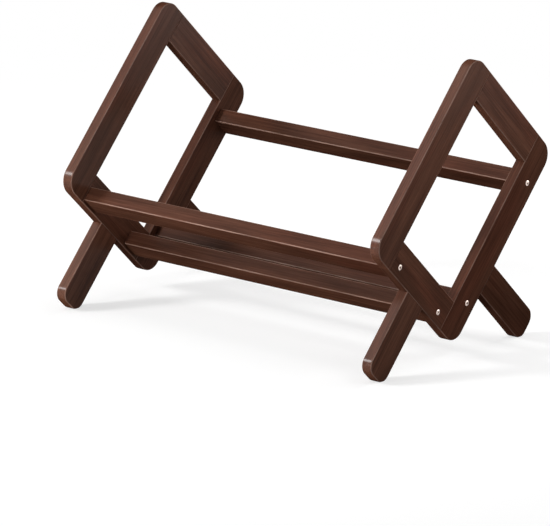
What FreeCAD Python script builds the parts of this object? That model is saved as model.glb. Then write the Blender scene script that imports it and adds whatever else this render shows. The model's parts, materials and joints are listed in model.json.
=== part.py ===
import FreeCAD, Part
import os
import re
import Sketcher

# A desktop book rack: two side frames lean back on crossed legs, and four rails tie them together.
# Each side frame is four bars and two legs, butted and dowelled. Each rail end has a screw and a dowel.
# X runs along the rack, the floor is at Z = 0, and the origin is under the middle of the rack's box.
# Inside a side frame "depth" runs down and back from the front bar, and "rise" runs up and back from
# the bottom bar. Both start at the frame's front corner and turn with the lean angle.

# Driving sizes in millimetres, and the lean in degrees.
SIZES = {
    # Whole rack
    "overall_length": 490,
    "lean_angle": 42,
    # Side frame
    "frame_rise": 280,
    "frame_depth": 218,
    "bar_width": 40,
    "bar_thickness": 14,
    "frame_corner_radius": 21,
    "edge_round": 1.2,
    # Legs, measured from the frame edges that they stand on
    "leg_width": 40,
    "leg_corner_radius": 14,
    "front_leg_centre": 109,
    "front_leg_length": 108,
    "back_leg_centre": 95,
    "foot_flat_depth": 0.6,
    # Rails: two carry the books and two hold them at the back. A centre is measured from the inner edge
    # of the bar that the rail sits beside.
    "rail_depth": 30,
    "rail_height": 19,
    "seat_rail_lift": 4.5,
    "front_seat_rail_centre": 16,
    "rear_seat_rail_centre": 18,
    "back_rail_inset": 0.5,
    "lower_back_rail_centre": 12.5,
    "upper_back_rail_centre": 15.5,
    # Dowels of the frame corners and the legs
    "dowel_diameter": 6,
    "dowel_length": 24,
    "dowel_chamfer": 0.8,
    "frame_dowel_spacing": 20,
    "leg_dowel_spacing": 20,
    "dowel_clearance": 0.1,
    "dowel_end_gap": 0.5,
    # Dowels that keep the rails from turning on their screws
    "rail_dowel_length": 20,
    "rail_dowel_bar_depth": 8,
    "rail_dowel_offset": 9,
    # Screws
    "screw_diameter": 4,
    "screw_length": 40,
    "screw_tip": 5,
    "screw_head_diameter": 8,
    "screw_slot_length": 4.6,
    "screw_slot_width": 1.1,
    "screw_slot_depth": 1.5,
    "screw_clearance": 0.1,
    "screw_end_gap": 0.5,
}

# Lengths that follow from the sizes. Feet are given by the centre of their rounded corner.
LAYOUT = {
    "inner_length": "overall_length - 2 * bar_thickness",
    "short_bar_length": "frame_depth - 2 * bar_width",
    "front_foot_depth": "front_leg_centre + leg_width / 2 - leg_corner_radius",
    "front_foot_rise": "leg_corner_radius - front_leg_length",
    "back_foot_rise": "back_leg_centre - leg_width / 2 + leg_corner_radius",
    "back_foot_depth": "front_foot_depth + (back_foot_rise - front_foot_rise) / tan(lean_angle)",
    "back_leg_length": "back_foot_depth + leg_corner_radius - frame_depth",
    "floor_drop": "front_foot_depth * sin(lean_angle) - front_foot_rise * cos(lean_angle)"
                  " + leg_corner_radius - foot_flat_depth",
    "leg_front_reach": "(front_leg_centre - leg_width / 2 + leg_corner_radius) * cos(lean_angle)"
                       " + front_foot_rise * sin(lean_angle) - leg_corner_radius",
    "frame_front_reach": "frame_corner_radius * (cos(lean_angle) + sin(lean_angle) - 1)",
    "leg_back_reach": "back_foot_depth * cos(lean_angle) + leg_corner_radius"
                      " + (back_leg_centre + leg_width / 2 - leg_corner_radius) * sin(lean_angle)",
    "frame_back_reach": "(frame_depth - frame_corner_radius) * cos(lean_angle) + frame_corner_radius"
                        " + (frame_rise - frame_corner_radius) * sin(lean_angle)",
    "middle_reach": "(min(leg_front_reach; frame_front_reach)"
                    " + max(leg_back_reach; frame_back_reach)) / 2",
    "front_seat_screw_depth": "bar_width + front_seat_rail_centre",
    "rear_seat_screw_depth": "frame_depth - bar_width - rear_seat_rail_centre",
    "seat_screw_rise": "seat_rail_lift + rail_height / 2",
    "back_screw_depth": "frame_depth - back_rail_inset - rail_depth / 2",
    "lower_back_screw_rise": "bar_width + lower_back_rail_centre",
    "upper_back_screw_rise": "frame_rise - bar_width - upper_back_rail_centre",
    "dowel_hole": "dowel_diameter + dowel_clearance",
    "dowel_hole_depth": "dowel_length / 2 + dowel_end_gap",
    "screw_hole": "screw_diameter + screw_clearance",
    "screw_sink": "(screw_head_diameter - screw_diameter) / 2",
    "screw_pilot_depth": "screw_length - bar_thickness + screw_end_gap",
    "rail_dowel_middle": "inner_length / 2 + rail_dowel_bar_depth - rail_dowel_length / 2",
}

SIDES = {"left": -1, "right": 1}
TOLERANCE = 1e-4

doc = FreeCAD.newDocument("BookRack")


def full(formula):
    """Writes a formula with every size led by the object that holds it."""
    def lead(word):
        name = word.group(0)
        if name in SIZES:
            return "Sizes." + name
        if name in LAYOUT:
            return "Layout." + name
        return name
    return re.sub(r"[a-z_]+", lead, formula)


def bind(thing, prop, formula):
    """Ties a property of an object to a formula in the sizes."""
    thing.setExpression(prop, full(formula))


def fill_sheet():
    """Writes the driving sizes into a sheet, each with its name beside it and as its alias."""
    sheet = doc.addObject("Spreadsheet::Sheet", "Sizes")
    for row, (name, size) in enumerate(SIZES.items(), start=1):
        sheet.set(f"A{row}", name)
        sheet.set(f"B{row}", str(size))
        sheet.setAlias(f"B{row}", name)
    doc.recompute()
    return sheet


def fill_layout():
    """Keeps the lengths that follow from the sizes, each as a formula."""
    layout = doc.addObject("App::VarSet", "Layout")
    for name in LAYOUT:
        layout.addProperty("App::PropertyFloat", name)
    for name, formula in LAYOUT.items():
        bind(layout, name, formula)
    doc.recompute()
    return layout


def value(formula):
    """Gives the number that a formula stands for."""
    return float(sizes.evalExpression(full(formula)))


def place(thing, x, depth, rise, turn="rotationx(-lean_angle)"):
    """Puts a piece at a place of the leaning frame, turned with it."""
    along = f"({depth}) * cos(lean_angle) + ({rise}) * sin(lean_angle) - middle_reach"
    up = f"({rise}) * cos(lean_angle) - ({depth}) * sin(lean_angle) + floor_drop"
    bind(thing, "Placement", f"placement(vector({x}; {along}; {up}); {turn})")


def new_sketch(body, name, plane, offset="0"):
    """Starts a sketch on one of the body's own planes, moved along the plane's normal."""
    sketch = body.newObject("Sketcher::SketchObject", name)
    support = next(item for item in body.Origin.OriginFeatures if item.Role == plane)
    sketch.AttachmentSupport = [(support, "")]
    sketch.MapMode = "FlatFace"
    bind(sketch, "AttachmentOffset.Base.z", offset)
    return sketch


def add_rectangle(sketch, width, height):
    """Draws a rectangle from the sketch's origin, of a bound width and height."""
    across, up = value(width), value(height)
    corners = [(0, 0), (across, 0), (across, up), (0, up)]
    points = [FreeCAD.Vector(x, y, 0) for x, y in corners]
    for start, end in zip(points, points[1:] + points[:1]):
        sketch.addGeometry(Part.LineSegment(start, end))
    for line in range(4):
        sketch.addConstraint(Sketcher.Constraint("Coincident", line, 2, (line + 1) % 4, 1))
    sketch.addConstraint(Sketcher.Constraint("Coincident", 0, 1, -1, 1))
    for line, direction in enumerate(("Horizontal", "Vertical") * 2):
        sketch.addConstraint(Sketcher.Constraint(direction, line))
    width_row = sketch.addConstraint(Sketcher.Constraint("DistanceX", 0, 1, 0, 2, across))
    height_row = sketch.addConstraint(Sketcher.Constraint("DistanceY", 1, 1, 1, 2, up))
    bind(sketch, f"Constraints[{width_row}]", width)
    bind(sketch, f"Constraints[{height_row}]", height)


def add_circles(sketch, centres, diameter):
    """Draws a circle of a bound diameter at each bound centre."""
    radius = value(diameter) / 2
    for index, (across, up) in enumerate(centres):
        middle = FreeCAD.Vector(value(across), value(up), 0)
        sketch.addGeometry(Part.Circle(middle, FreeCAD.Vector(0, 0, 1), radius))
        rows = {
            sketch.addConstraint(Sketcher.Constraint("DistanceX", -1, 1, index, 3, middle.x)): across,
            sketch.addConstraint(Sketcher.Constraint("DistanceY", -1, 1, index, 3, middle.y)): up,
            sketch.addConstraint(Sketcher.Constraint("Diameter", index, 2 * radius)): diameter,
        }
        for row, formula in rows.items():
            bind(sketch, f"Constraints[{row}]", formula)


def add_pad(body, sketch, length, middle=False):
    """Raises a sketch into a solid, to one side or to both."""
    pad = body.newObject("PartDesign::Pad", "Pad")
    pad.Profile = sketch
    pad.Midplane = middle
    bind(pad, "Length", length)
    doc.recompute()
    return pad


def cut(body, sketch, depth, name, along_normal=False):
    """Cuts a sketch into the solid, and makes sure that it took something away."""
    before = body.Shape.Volume
    pocket = body.newObject("PartDesign::Pocket", name)
    pocket.Profile = sketch
    pocket.Reversed = along_normal
    bind(pocket, "Length", depth)
    doc.recompute()
    if not body.Shape.Volume < before - TOLERANCE:
        raise RuntimeError(f"{body.Label}: {name} cuts nothing")
    return pocket


def drill(body, name, plane, offset, centres, diameter, depth, along_normal=False):
    """Drills equal holes from one of the body's planes."""
    sketch = new_sketch(body, name + "Sketch", plane, offset)
    add_circles(sketch, centres, diameter)
    return cut(body, sketch, depth, name, along_normal)


def dress(body, kind, name, prop, size, chosen):
    """Rounds or chamfers the edges of the solid that a test chooses."""
    base = body.Tip
    names = [f"Edge{i}" for i, edge in enumerate(base.Shape.Edges, start=1) if chosen(edge)]
    feature = body.newObject(kind, name)
    feature.Base = (base, names)
    bind(feature, prop, size)
    doc.recompute()
    return feature


def level(edge, axis, height):
    """Says whether an edge lies wholly at one coordinate."""
    box = edge.BoundBox
    low = getattr(box, axis + "Min")
    high = getattr(box, axis + "Max")
    return abs(low - height) < TOLERANCE and abs(high - height) < TOLERANCE


def round_corners(body, corners, radius):
    """Rounds the corners of a bar's outline, given by their depth and rise."""
    places = [(value(depth), value(rise)) for depth, rise in corners]

    def chosen(edge):
        return any(level(edge, "Y", depth) and level(edge, "Z", rise) for depth, rise in places)
    dress(body, "PartDesign::Fillet", "Corners", "Radius", radius, chosen)


def round_rims(body, thickness, sharp=()):
    """Eases the rims of a bar's two faces, but for the ends that butt against another piece."""
    faces = (0, value(thickness))
    ends = [(axis, value(height)) for axis, height in sharp]

    def chosen(edge):
        on_rim = any(level(edge, "X", face) for face in faces)
        return on_rim and not any(level(edge, axis, height) for axis, height in ends)
    dress(body, "PartDesign::Fillet", "Rims", "Radius", "edge_round", chosen)


def round_lengthwise(body):
    """Eases the edges that run along X."""
    def chosen(edge):
        return edge.BoundBox.XLength > TOLERANCE
    dress(body, "PartDesign::Fillet", "LongEdges", "Radius", "edge_round", chosen)


def new_board(label, depth, rise, thickness):
    """Makes a board of a given depth and rise, with its thickness along X."""
    body = doc.addObject("PartDesign::Body", label)
    sketch = new_sketch(body, "Outline", "YZ_Plane")
    add_rectangle(sketch, depth, rise)
    add_pad(body, sketch, thickness)
    return body


def side_x(side):
    """Gives the lowest X of a side frame, where its boards start."""
    return "-overall_length / 2" if SIDES[side] < 0 else "inner_length / 2"


def pair(middle, spacing):
    """Gives two places set evenly about a middle."""
    return [f"{middle} - {spacing} / 2", f"{middle} + {spacing} / 2"]


def mid_thickness(places):
    """Puts holes at places along a bar's edge, in the middle of its thickness."""
    return [("bar_thickness / 2", position) for position in places]


def drill_from_front(body, name, places):
    """Drills dowel holes into the edge at depth 0, going back."""
    drill(body, name, "XZ_Plane", "0", mid_thickness(places), "dowel_hole", "dowel_hole_depth")


def drill_from_back(body, name, depth, places):
    """Drills dowel holes into the edge at the given depth, going forward."""
    drill(body, name, "XZ_Plane", f"-({depth})", mid_thickness(places), "dowel_hole",
          "dowel_hole_depth", along_normal=True)


def drill_for_rails(body, side, screws, dowels):
    """Drills a bar for its rails: countersunk screw holes right through, and blind dowel holes."""
    right = SIDES[side] > 0
    outer = "bar_thickness" if right else "0"
    inner = "0" if right else "bar_thickness"
    drill(body, "ScrewHoles", "YZ_Plane", "0", screws, "screw_hole", "bar_thickness", along_normal=True)
    outer_x = value(outer)
    centres = [(value(depth), value(rise)) for depth, rise in screws]

    def chosen(edge):
        middle = edge.BoundBox.Center
        near = any(abs(middle.y - y) + abs(middle.z - z) < TOLERANCE for y, z in centres)
        return near and level(edge, "X", outer_x)
    dress(body, "PartDesign::Chamfer", "Countersinks", "Size", "screw_sink", chosen)
    drill(body, "RailDowelHoles", "YZ_Plane", inner, dowels, "dowel_hole",
          "rail_dowel_bar_depth + dowel_end_gap", along_normal=right)


def corner_dowels(end):
    """Gives the rises of a corner's two dowels, at the bottom or the top of the frame."""
    middle = "bar_width / 2" if end == "bottom" else "frame_rise - bar_width / 2"
    return pair(middle, "frame_dowel_spacing")


def make_front_bar(side):
    """The front bar runs the frame's full rise, with its two front corners rounded."""
    bar = new_board(f"{side}_front_bar", "bar_width", "frame_rise", "bar_thickness")
    round_corners(bar, [("0", "0"), ("0", "frame_rise")], "frame_corner_radius")
    round_rims(bar, "bar_thickness")
    drill_from_back(bar, "CornerHoles", "bar_width", corner_dowels("bottom") + corner_dowels("top"))
    place(bar, side_x(side), "0", "0")
    return bar


def make_back_bar(side):
    """The back bar runs the full rise too, and carries the back leg and the two back rails."""
    bar = new_board(f"{side}_back_bar", "bar_width", "frame_rise", "bar_thickness")
    round_corners(bar, [("bar_width", "0"), ("bar_width", "frame_rise")], "frame_corner_radius")
    round_rims(bar, "bar_thickness")
    drill_from_front(bar, "CornerHoles", corner_dowels("bottom") + corner_dowels("top"))
    drill_from_back(bar, "LegHoles", "bar_width", pair("back_leg_centre", "leg_dowel_spacing"))
    start = "frame_depth - bar_width"
    depth = f"back_screw_depth - ({start})"
    rises = ["lower_back_screw_rise", "upper_back_screw_rise"]
    screws = [(depth, rise) for rise in rises]
    dowels = [(f"{depth} - rail_dowel_offset", rise) for rise in rises]
    drill_for_rails(bar, side, screws, dowels)
    place(bar, side_x(side), start, "0")
    return bar


def make_short_bar(side, end):
    """A bottom or top bar fits between the front and the back bar, square at both ends."""
    bar = new_board(f"{side}_{end}_bar", "short_bar_length", "bar_width", "bar_thickness")
    round_rims(bar, "bar_thickness", sharp=[("Y", "0"), ("Y", "short_bar_length")])
    rises = pair("bar_width / 2", "frame_dowel_spacing")
    drill_from_front(bar, "FrontEndHoles", rises)
    drill_from_back(bar, "BackEndHoles", "short_bar_length", rises)
    return bar


def make_bottom_bar(side):
    """The bottom bar carries the front leg and the two rails that the books stand on."""
    bar = make_short_bar(side, "bottom")
    legs = pair("front_leg_centre - bar_width", "leg_dowel_spacing")
    drill(bar, "LegHoles", "XY_Plane", "0", mid_thickness(legs), "dowel_hole", "dowel_hole_depth",
          along_normal=True)
    front = "front_seat_screw_depth - bar_width"
    rear = "rear_seat_screw_depth - bar_width"
    screws = [(depth, "seat_screw_rise") for depth in (front, rear)]
    dowels = [(f"{front} + rail_dowel_offset", "seat_screw_rise"),
              (f"{rear} - rail_dowel_offset", "seat_screw_rise")]
    drill_for_rails(bar, side, screws, dowels)
    place(bar, side_x(side), "bar_width", "0")
    return bar


def make_top_bar(side):
    """The top bar closes the frame."""
    bar = make_short_bar(side, "top")
    place(bar, side_x(side), "bar_width", "frame_rise - bar_width")
    return bar


def flatten_foot(leg, depth, rise):
    """Takes a narrow level flat off a foot's rounded corner, where it stands on the floor."""
    sketch = new_sketch(leg, "FootFlatSketch", "YZ_Plane")
    add_rectangle(sketch, "leg_width", "leg_corner_radius")
    reach = "(leg_corner_radius - foot_flat_depth)"
    down = f"({reach} + leg_corner_radius)"
    along = "leg_width / 2"
    across_x = f"{depth} + {down} * sin(lean_angle) - {along} * cos(lean_angle)"
    across_y = f"{rise} - {down} * cos(lean_angle) - {along} * sin(lean_angle)"
    bind(sketch, "AttachmentOffset",
         f"placement(vector({across_x}; {across_y}; 0); rotationz(lean_angle))")
    cut(leg, sketch, "bar_thickness", "FootFlat", along_normal=True)


def make_front_leg(side):
    """The front leg hangs from the bottom bar, in line with the front bar."""
    leg = new_board(f"{side}_front_leg", "leg_width", "front_leg_length", "bar_thickness")
    round_corners(leg, [("0", "0"), ("leg_width", "0")], "leg_corner_radius")
    round_rims(leg, "bar_thickness", sharp=[("Z", "front_leg_length")])
    flatten_foot(leg, "leg_width - leg_corner_radius", "leg_corner_radius")
    places = pair("leg_width / 2", "leg_dowel_spacing")
    drill(leg, "LegHoles", "XY_Plane", "front_leg_length", mid_thickness(places), "dowel_hole",
          "dowel_hole_depth")
    place(leg, side_x(side), "front_leg_centre - leg_width / 2", "-front_leg_length")
    return leg


def make_back_leg(side):
    """The back leg runs out behind the back bar, as long as it takes to reach the floor."""
    leg = new_board(f"{side}_back_leg", "back_leg_length", "leg_width", "bar_thickness")
    corners = [("back_leg_length", "0"), ("back_leg_length", "leg_width")]
    round_corners(leg, corners, "leg_corner_radius")
    round_rims(leg, "bar_thickness", sharp=[("Y", "0")])
    flatten_foot(leg, "back_leg_length - leg_corner_radius", "leg_corner_radius")
    drill_from_front(leg, "LegHoles", pair("leg_width / 2", "leg_dowel_spacing"))
    place(leg, side_x(side), "frame_depth", "back_leg_centre - leg_width / 2")
    return leg


# Where each rail's middle lies, and on which side of its screw the dowel is.
RAILS = {
    "front_seat_rail": ("front_seat_screw_depth", "seat_screw_rise", "+"),
    "rear_seat_rail": ("rear_seat_screw_depth", "seat_screw_rise", "-"),
    "lower_back_rail": ("back_screw_depth", "lower_back_screw_rise", "-"),
    "upper_back_rail": ("back_screw_depth", "upper_back_screw_rise", "-"),
}


def make_rail(label):
    """A rail spans the two side frames, with a pilot hole and a dowel hole in each end."""
    depth, rise, dowel_side = RAILS[label]
    rail = new_board(label, "rail_depth", "rail_height", "inner_length")
    round_lengthwise(rail)
    screw = [("rail_depth / 2", "rail_height / 2")]
    dowel = [(f"rail_depth / 2 {dowel_side} rail_dowel_offset", "rail_height / 2")]
    dowel_depth = "rail_dowel_length - rail_dowel_bar_depth + dowel_end_gap"
    for end, offset in (("Left", "0"), ("Right", "inner_length")):
        inward = end == "Left"
        drill(rail, end + "Pilot", "YZ_Plane", offset, screw, "screw_hole", "screw_pilot_depth", inward)
        drill(rail, end + "DowelHole", "YZ_Plane", offset, dowel, "dowel_hole", dowel_depth, inward)
    place(rail, "-inner_length / 2", f"{depth} - rail_depth / 2", f"{rise} - rail_height / 2")
    return rail


def make_dowel(name, length):
    """One dowel pin about the origin, along Z, with chamfered ends."""
    body = doc.addObject("PartDesign::Body", name)
    sketch = new_sketch(body, "Round", "XY_Plane")
    sketch.addGeometry(Part.Circle(FreeCAD.Vector(0, 0, 0), FreeCAD.Vector(0, 0, 1),
                                   value("dowel_diameter") / 2))
    sketch.addConstraint(Sketcher.Constraint("Coincident", 0, 3, -1, 1))
    row = sketch.addConstraint(Sketcher.Constraint("Diameter", 0, value("dowel_diameter")))
    bind(sketch, f"Constraints[{row}]", "dowel_diameter")
    add_pad(body, sketch, length, middle=True)
    half = value(length) / 2

    def chosen(edge):
        return level(edge, "Z", half) or level(edge, "Z", -half)
    dress(body, "PartDesign::Chamfer", "Ends", "Size", "dowel_chamfer", chosen)
    return body


def make_screw():
    """One countersunk screw down the Z axis, with its head's face at the origin and a cross slot."""
    parts = {
        "head": ("Part::Cone", "-screw_sink", "screw_sink", "screw_diameter / 2", "screw_head_diameter / 2"),
        "shank": ("Part::Cylinder", "screw_tip - screw_length", "screw_length - screw_tip - screw_sink",
                  "screw_diameter / 2", None),
        "tip": ("Part::Cone", "-screw_length", "screw_tip", "0", "screw_diameter / 2"),
    }
    solids = []
    for name, (kind, bottom, height, radius, top_radius) in parts.items():
        solid = doc.addObject(kind, "screw_" + name)
        bind(solid, "Radius1" if top_radius else "Radius", radius)
        if top_radius:
            bind(solid, "Radius2", top_radius)
        bind(solid, "Height", height)
        bind(solid, "Placement.Base.z", bottom)
        solids.append(solid)
    blank = doc.addObject("Part::MultiFuse", "screw_blank")
    blank.Shapes = solids
    slots = []
    for name, long_side, short_side in (("slot_x", "x", "y"), ("slot_y", "y", "x")):
        slot = doc.addObject("Part::Box", "screw_" + name)
        sides = {long_side: ("screw_slot_length", "Length" if long_side == "x" else "Width"),
                 short_side: ("screw_slot_width", "Length" if short_side == "x" else "Width")}
        for axis, (size, prop) in sides.items():
            bind(slot, prop, size)
            bind(slot, f"Placement.Base.{axis}", f"-{size} / 2")
        bind(slot, "Height", "2 * screw_slot_depth")
        bind(slot, "Placement.Base.z", "-screw_slot_depth")
        slots.append(slot)
    cross = doc.addObject("Part::MultiFuse", "screw_cross")
    cross.Shapes = slots
    screw = doc.addObject("Part::Cut", "screw")
    screw.Base = blank
    screw.Tool = cross
    doc.recompute()
    return screw


def make_group(label, original, places):
    """Repeats one fastener at several places and turns, as a group of separate solids."""
    links = []
    for number, (x, depth, rise, turn) in enumerate(places, start=1):
        link = doc.addObject("App::Link", f"{label}_{number}")
        link.LinkedObject = original
        place(link, x, depth, rise, turn)
        links.append(link)
    group = doc.addObject("Part::Compound", label)
    group.Links = links
    return group


ALONG_DEPTH = "rotationx(-lean_angle - 90)"
ALONG_RISE = "rotationx(-lean_angle)"


def make_frame_dowels(side):
    """Two dowels through each corner of a side frame."""
    x = f"{side_x(side)} + bar_thickness / 2"
    places = []
    for depth in ("bar_width", "frame_depth - bar_width"):
        for rise in corner_dowels("bottom") + corner_dowels("top"):
            places.append((x, depth, rise, ALONG_DEPTH))
    return make_group(f"{side}_frame_dowels", dowel_pin, places)


def make_leg_dowels(side):
    """Two dowels into each leg."""
    x = f"{side_x(side)} + bar_thickness / 2"
    places = [(x, depth, "0", ALONG_RISE) for depth in pair("front_leg_centre", "leg_dowel_spacing")]
    places += [(x, "frame_depth", rise, ALONG_DEPTH)
               for rise in pair("back_leg_centre", "leg_dowel_spacing")]
    return make_group(f"{side}_leg_dowels", dowel_pin, places)


def make_rail_dowels(side):
    """One dowel beside the screw at each rail end."""
    x = "rail_dowel_middle" if SIDES[side] > 0 else "-rail_dowel_middle"
    turn = f"rotationx(-lean_angle) * rotationy({90 * SIDES[side]})"
    places = [(x, f"{depth} {dowel_side} rail_dowel_offset", rise, turn)
              for depth, rise, dowel_side in RAILS.values()]
    return make_group(f"{side}_rail_dowels", rail_dowel_pin, places)


def make_screws(side):
    """One screw into each rail end, its head level with the frame's outer face."""
    x = "overall_length / 2" if SIDES[side] > 0 else "-overall_length / 2"
    turn = f"rotationx(-lean_angle) * rotationy({90 * SIDES[side]})"
    places = [(x, depth, rise, turn) for depth, rise, _ in RAILS.values()]
    return make_group(f"{side}_screws", screw_pin, places)


def check(nodes):
    """Stops the build if any object failed, or any node has no sound solid."""
    for thing in doc.Objects:
        if {"Invalid", "Error"} & set(thing.State):
            raise RuntimeError(f"{thing.Label} failed: {thing.State}")
    for node in nodes:
        shape = node.Shape
        if shape.isNull() or not shape.isValid() or not shape.Solids:
            raise RuntimeError(f"{node.Label} has no sound solid")


def export(nodes):
    """Writes each node to a file of its own."""
    os.makedirs("parts", exist_ok=True)
    for node in nodes:
        node.Shape.exportStep(f"parts/{node.Label}.step")


sizes = fill_sheet()
layout = fill_layout()
dowel_pin = make_dowel("dowel_pin", "dowel_length")
rail_dowel_pin = make_dowel("rail_dowel_pin", "rail_dowel_length")
screw_pin = make_screw()

SIDE_PIECES = (make_front_bar, make_back_bar, make_bottom_bar, make_top_bar, make_front_leg,
               make_back_leg, make_frame_dowels, make_leg_dowels, make_rail_dowels, make_screws)
pieces = [make(side) for side in SIDES for make in SIDE_PIECES]
pieces += [make_rail(label) for label in RAILS]

doc.recompute()
check(pieces)
export(pieces)
print(f"{len(pieces)} nodes, {sum(len(piece.Shape.Solids) for piece in pieces)} solids")
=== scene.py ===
"""The looks of a leaning wooden book rack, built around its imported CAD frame."""

import json
import logging
import math
from dataclasses import dataclass, field
from enum import Enum
from typing import Any, Optional, Sequence, Union

import bmesh
import bpy
from mathutils import Matrix, Vector

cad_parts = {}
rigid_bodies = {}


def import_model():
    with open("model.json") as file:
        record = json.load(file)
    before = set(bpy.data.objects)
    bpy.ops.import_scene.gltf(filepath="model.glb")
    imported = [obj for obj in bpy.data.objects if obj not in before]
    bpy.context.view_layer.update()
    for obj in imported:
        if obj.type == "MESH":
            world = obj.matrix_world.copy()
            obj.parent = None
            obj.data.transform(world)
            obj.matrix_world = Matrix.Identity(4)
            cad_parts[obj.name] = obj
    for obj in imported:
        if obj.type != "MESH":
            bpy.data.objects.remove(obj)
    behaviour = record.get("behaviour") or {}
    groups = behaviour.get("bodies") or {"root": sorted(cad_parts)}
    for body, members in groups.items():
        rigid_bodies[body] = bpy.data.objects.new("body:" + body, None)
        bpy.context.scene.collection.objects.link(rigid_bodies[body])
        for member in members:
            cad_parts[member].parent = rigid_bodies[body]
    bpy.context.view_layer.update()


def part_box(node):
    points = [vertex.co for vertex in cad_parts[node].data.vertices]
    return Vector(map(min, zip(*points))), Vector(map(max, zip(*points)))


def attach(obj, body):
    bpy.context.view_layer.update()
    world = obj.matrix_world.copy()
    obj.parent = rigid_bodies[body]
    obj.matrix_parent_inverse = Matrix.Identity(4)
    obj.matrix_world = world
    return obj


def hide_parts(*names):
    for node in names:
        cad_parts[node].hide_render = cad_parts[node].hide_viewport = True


LOG = logging.getLogger("book_rack")
BODY = "root"
CRISP_ANGLE = math.radians(32.0)

# Places less than a hair apart count as one, and points less than a speck apart are merged.
HAIR = 1e-5
SPECK = HAIR / 10

Colour = tuple[float, float, float, float]
Triple = tuple[float, float, float]
Span = tuple[float, float]


class Side(Enum):
    """The two side frames, with the sign of X on which each stands."""

    LEFT = -1
    RIGHT = 1

    @property
    def label(self) -> str:
        """The side's name as the CAD nodes have it."""
        return self.name.lower()

    @property
    def first_number(self) -> int:
        """The number of the side's first board, which picks its grain."""
        return 0 if self is Side.LEFT else 10


class Axis(Enum):
    """The axes of the leaning frame: along the rack, down its depth and up its rise."""

    LENGTH = 0
    DEPTH = 1
    RISE = 2

    @property
    def unit(self) -> Vector:
        """The axis as a vector of length one."""
        return Vector([1.0 if place == self.value else 0.0 for place in range(3)])

    @property
    def grain_order(self) -> tuple[int, int, int]:
        """The three axes, starting with this one as the way of the grain."""
        return ((0, 1, 2), (1, 2, 0), (2, 1, 0))[self.value]


class Slot(Enum):
    """The record's material slots."""

    STAINED_WOOD = "stained_wood"
    DOWEL_WOOD = "dowel_wood"
    SCREW_STEEL = "screw_steel"

    @property
    def stuff(self) -> str:
        """The last word of the slot's name, which ends the names of its pieces."""
        return self.value.split("_")[-1]


@dataclass(frozen=True)
class RackSizes:
    """The rack's sizes in metres and its lean in radians, as the solids have them."""

    length: float = 0.490
    lean: float = math.radians(42.0)
    rise: float = 0.280
    depth: float = 0.218
    bar: float = 0.040
    thickness: float = 0.014
    corner: float = 0.021
    ease: float = 0.0012
    leg_width: float = 0.040
    leg_corner: float = 0.014
    front_leg_centre: float = 0.109
    front_leg_length: float = 0.108
    back_leg_centre: float = 0.095
    foot_flat: float = 0.0006
    rail_depth: float = 0.030
    rail_height: float = 0.019
    seat_lift: float = 0.0045
    front_seat_depth: float = 0.056
    rear_seat_depth: float = 0.160
    back_inset: float = 0.0005
    lower_back_rise: float = 0.0525
    upper_back_rise: float = 0.2245

    @property
    def inner_half(self) -> float:
        """Half the clear length between the side frames."""
        return self.length / 2 - self.thickness

    @property
    def front_foot(self) -> Vector:
        """The centre of the front foot's rounded corner, in the leaning frame."""
        depth = self.front_leg_centre + self.leg_width / 2 - self.leg_corner
        return Vector((0, depth, self.leg_corner - self.front_leg_length))

    @property
    def back_foot(self) -> Vector:
        """The centre of the back foot's rounded corner, level with the front foot's."""
        rise = self.back_leg_centre - self.leg_width / 2 + self.leg_corner
        front = self.front_foot
        return Vector((0, front.y + (rise - front.z) / math.tan(self.lean), rise))

    @property
    def back_leg_end(self) -> float:
        """The depth at which the back leg ends."""
        return self.back_foot.y + self.leg_corner

    @property
    def down(self) -> Vector:
        """The way down to the floor, in the leaning frame."""
        return Vector((0, math.sin(self.lean), -math.cos(self.lean)))

    @property
    def to_world(self) -> Matrix:
        """The move from the leaning frame to the floor's own axes."""
        sine, cosine = math.sin(self.lean), math.cos(self.lean)
        foot, back = self.front_foot, self.back_foot
        drop = foot.y * sine - foot.z * cosine + self.leg_corner - self.foot_flat
        leg_front = (foot.y - self.leg_width + 2 * self.leg_corner) * cosine + foot.z * sine
        frame_front = self.corner * (cosine + sine - 1)
        leg_back = back.y * cosine + (back.z + self.leg_width - 2 * self.leg_corner) * sine
        frame_back = (self.depth - self.corner) * cosine + (self.rise - self.corner) * sine
        nearest = min(leg_front - self.leg_corner, frame_front)
        farthest = max(leg_back + self.leg_corner, frame_back + self.corner)
        move = Matrix.Translation((0, -(nearest + farthest) / 2, drop))
        return move @ Matrix.Rotation(-self.lean, 4, "X")


class Sock:
    """A shader socket that takes part in Python arithmetic, each step adding a Math node."""

    def __init__(self, graph: "Graph", socket: bpy.types.NodeSocket) -> None:
        """Keeps the socket and the graph that it belongs to."""
        self.graph = graph
        self.socket = socket

    def _math(self, operation: str, *values: "Number") -> "Sock":
        """Adds one Math node that works on one or two values."""
        return self.graph.add("ShaderNodeMath", {"operation": operation}, dict(enumerate(values)))

    def __add__(self, other: "Number") -> "Sock":
        """Adds a value."""
        return self._math("ADD", self, other)

    def __radd__(self, other: "Number") -> "Sock":
        """Is added to a value."""
        return self._math("ADD", other, self)

    def __sub__(self, other: "Number") -> "Sock":
        """Takes a value away."""
        return self._math("SUBTRACT", self, other)

    def __rsub__(self, other: "Number") -> "Sock":
        """Is taken from a value."""
        return self._math("SUBTRACT", other, self)

    def __mul__(self, other: "Number") -> "Sock":
        """Multiplies by a value."""
        return self._math("MULTIPLY", self, other)

    def __rmul__(self, other: "Number") -> "Sock":
        """Multiplies a value."""
        return self._math("MULTIPLY", other, self)

    def __pow__(self, other: "Number") -> "Sock":
        """Is raised to a power."""
        return self._math("POWER", self, other)

    def __rpow__(self, other: "Number") -> "Sock":
        """Is the power that a value is raised to."""
        return self._math("POWER", other, self)

    def largest(self, other: "Number") -> "Sock":
        """Gives the larger of this and another value."""
        return self._math("MAXIMUM", self, other)

    def sine(self) -> "Sock":
        """Gives the sine of an angle in radians."""
        return self._math("SINE", self)


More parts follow.
